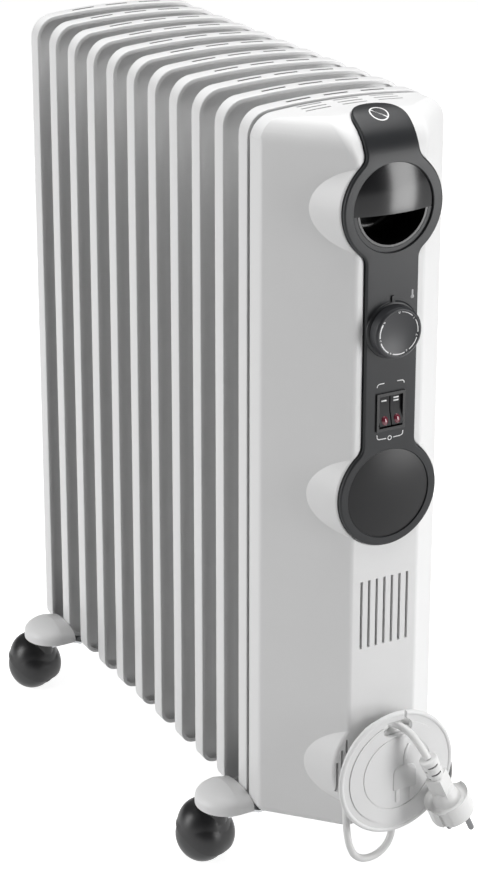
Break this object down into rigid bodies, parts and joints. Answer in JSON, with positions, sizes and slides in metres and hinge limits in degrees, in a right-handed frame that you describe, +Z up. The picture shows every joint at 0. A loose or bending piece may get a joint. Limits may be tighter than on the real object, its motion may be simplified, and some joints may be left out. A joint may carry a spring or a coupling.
{
  "type": "oil-filled radiator heater",
  "caption": "Free-standing electric oil-filled radiator with pressed steel fins, a white control housing with a dark fascia, knob, rockers, cord wrap and castors.",
  "frame": {"origin": "centre of the footprint, on the floor", "axes": "+Z up, +X along the row of fins towards the control housing, +Y to the right when facing the control housing"},
  "size_m": [0.5267, 0.2662, 0.634],
  "materials": {
    "white_enamel": "white enamel, satin",
    "housing_plastic": "white plastic, fine grain",
    "fascia_plastic": "dark grey plastic, fine grain",
    "black_gloss": "black, polished",
    "black_plastic": "black, fine grain",
    "knob_plastic": "dark grey, satin",
    "rocker_plastic": "dark grey, satin gloss",
    "cord_white": "white vinyl, satin",
    "pin_metal": "nickel-plated, dull",
    "zinc_steel": "zinc-plated",
    "element_steel": "heat-darkened steel",
    "axle_steel": "bright drawn",
    "ivory_plastic": "ivory, heat-proof moulding",
    "brass": "bare brass cap",
    "castor_plastic": "black, satin",
    "wheel_plastic": "dark grey, satin"
  },
  "bodies": {
    "heater": {"fin_01": "white_enamel", "fin_02": "white_enamel", "fin_03": "white_enamel", "fin_04": "white_enamel", "fin_05": "white_enamel", "fin_06": "white_enamel", "fin_07": "white_enamel", "fin_08": "white_enamel", "fin_09": "white_enamel", "fin_10": "white_enamel", "fin_11": "white_enamel", "header_collars": "white_enamel", "filler_plug": "zinc_steel", "heating_element": "element_steel", "element_flange": "zinc_steel", "backplate": "zinc_steel", "control_housing": "housing_plastic", "housing_screws": "zinc_steel", "fascia": "fascia_plastic", "handle_hood": "black_gloss", "handle_cup": "black_plastic", "badge_disc": "black_gloss", "thermostat": "ivory_plastic", "thermal_cutout": "brass", "terminal_block": "ivory_plastic", "switch_case": "black_plastic", "reel_hub": "housing_plastic", "reel_disc": "housing_plastic", "cord_gland": "cord_white", "cord_loop": "cord_white", "cord_winding": "cord_white", "cord_tail": "cord_white", "plug_body": "cord_white", "plug_pins": "pin_metal", "foot_bracket_rear": "zinc_steel", "foot_bracket_front": "zinc_steel", "foot_clamps": "zinc_steel", "wing_rear_left": "housing_plastic", "wing_rear_right": "housing_plastic", "wing_front_left": "housing_plastic", "wing_front_right": "housing_plastic"},
    "knob": {"knob": "knob_plastic"},
    "rocker_1": {"rocker_1": "rocker_plastic"},
    "rocker_2": {"rocker_2": "rocker_plastic"},
    "castor_rear_left": {"castor_rear_left": "castor_plastic", "axle_rear_left": "axle_steel"},
    "wheel_rear_left_out": {"wheel_rear_left_out": "wheel_plastic"},
    "wheel_rear_left_in": {"wheel_rear_left_in": "wheel_plastic"},
    "castor_rear_right": {"castor_rear_right": "castor_plastic", "axle_rear_right": "axle_steel"},
    "wheel_rear_right_out": {"wheel_rear_right_out": "wheel_plastic"},
    "wheel_rear_right_in": {"wheel_rear_right_in": "wheel_plastic"},
    "castor_front_left": {"castor_front_left": "castor_plastic", "axle_front_left": "axle_steel"},
    "wheel_front_left_out": {"wheel_front_left_out": "wheel_plastic"},
    "wheel_front_left_in": {"wheel_front_left_in": "wheel_plastic"},
    "castor_front_right": {"castor_front_right": "castor_plastic", "axle_front_right": "axle_steel"},
    "wheel_front_right_out": {"wheel_front_right_out": "wheel_plastic"},
    "wheel_front_right_in": {"wheel_front_right_in": "wheel_plastic"}
  },
  "joints": [
    {"name": "knob_turn", "type": "hinge", "parent": "heater", "child": "knob", "pos_m": [0.22035, 0, 0.4701], "axis": [1, 0, 0], "range_deg": [0, 270]},
    {"name": "rocker_1_tip", "type": "hinge", "parent": "heater", "child": "rocker_1", "pos_m": [0.21935, -0.0054, 0.4053], "axis": [0, 1, 0], "range_deg": [0, 16]},
    {"name": "rocker_2_tip", "type": "hinge", "parent": "heater", "child": "rocker_2", "pos_m": [0.21935, 0.0054, 0.4053], "axis": [0, 1, 0], "range_deg": [0, 16]},
    {"name": "swivel_rear_left", "type": "hinge", "parent": "heater", "child": "castor_rear_left", "pos_m": [-0.20465, -0.102, 0.0527], "axis": [0, 0, 1], "continuous": true},
    {"name": "roll_rear_left_out", "type": "hinge", "parent": "castor_rear_left", "child": "wheel_rear_left_out", "pos_m": [-0.21553, -0.10707, 0.022], "axis": [-0.4226, 0.9063, 0], "continuous": true},
    {"name": "roll_rear_left_in", "type": "hinge", "parent": "castor_rear_left", "child": "wheel_rear_left_in", "pos_m": [-0.21553, -0.10707, 0.022], "axis": [-0.4226, 0.9063, 0], "continuous": true},
    {"name": "swivel_rear_right", "type": "hinge", "parent": "heater", "child": "castor_rear_right", "pos_m": [-0.20465, 0.102, 0.0527], "axis": [0, 0, 1], "continuous": true},
    {"name": "roll_rear_right_out", "type": "hinge", "parent": "castor_rear_right", "child": "wheel_rear_right_out", "pos_m": [-0.21553, 0.10707, 0.022], "axis": [-0.4226, -0.9063, 0], "continuous": true},
    {"name": "roll_rear_right_in", "type": "hinge", "parent": "castor_rear_right", "child": "wheel_rear_right_in", "pos_m": [-0.21553, 0.10707, 0.022], "axis": [-0.4226, -0.9063, 0], "continuous": true},
    {"name": "swivel_front_left", "type": "hinge", "parent": "heater", "child": "castor_front_left", "pos_m": [0.13375, -0.102, 0.0527], "axis": [0, 0, 1], "continuous": true},
    {"name": "roll_front_left_out", "type": "hinge", "parent": "castor_front_left", "child": "wheel_front_left_out", "pos_m": [0.12287, -0.10707, 0.022], "axis": [-0.4226, 0.9063, 0], "continuous": true},
    {"name": "roll_front_left_in", "type": "hinge", "parent": "castor_front_left", "child": "wheel_front_left_in", "pos_m": [0.12287, -0.10707, 0.022], "axis": [-0.4226, 0.9063, 0], "continuous": true},
    {"name": "swivel_front_right", "type": "hinge", "parent": "heater", "child": "castor_front_right", "pos_m": [0.13375, 0.102, 0.0527], "axis": [0, 0, 1], "continuous": true},
    {"name": "roll_front_right_out", "type": "hinge", "parent": "castor_front_right", "child": "wheel_front_right_out", "pos_m": [0.12287, 0.10707, 0.022], "axis": [-0.4226, -0.9063, 0], "continuous": true},
    {"name": "roll_front_right_in", "type": "hinge", "parent": "castor_front_right", "child": "wheel_front_right_in", "pos_m": [0.12287, 0.10707, 0.022], "axis": [-0.4226, -0.9063, 0], "continuous": true}
  ]
}
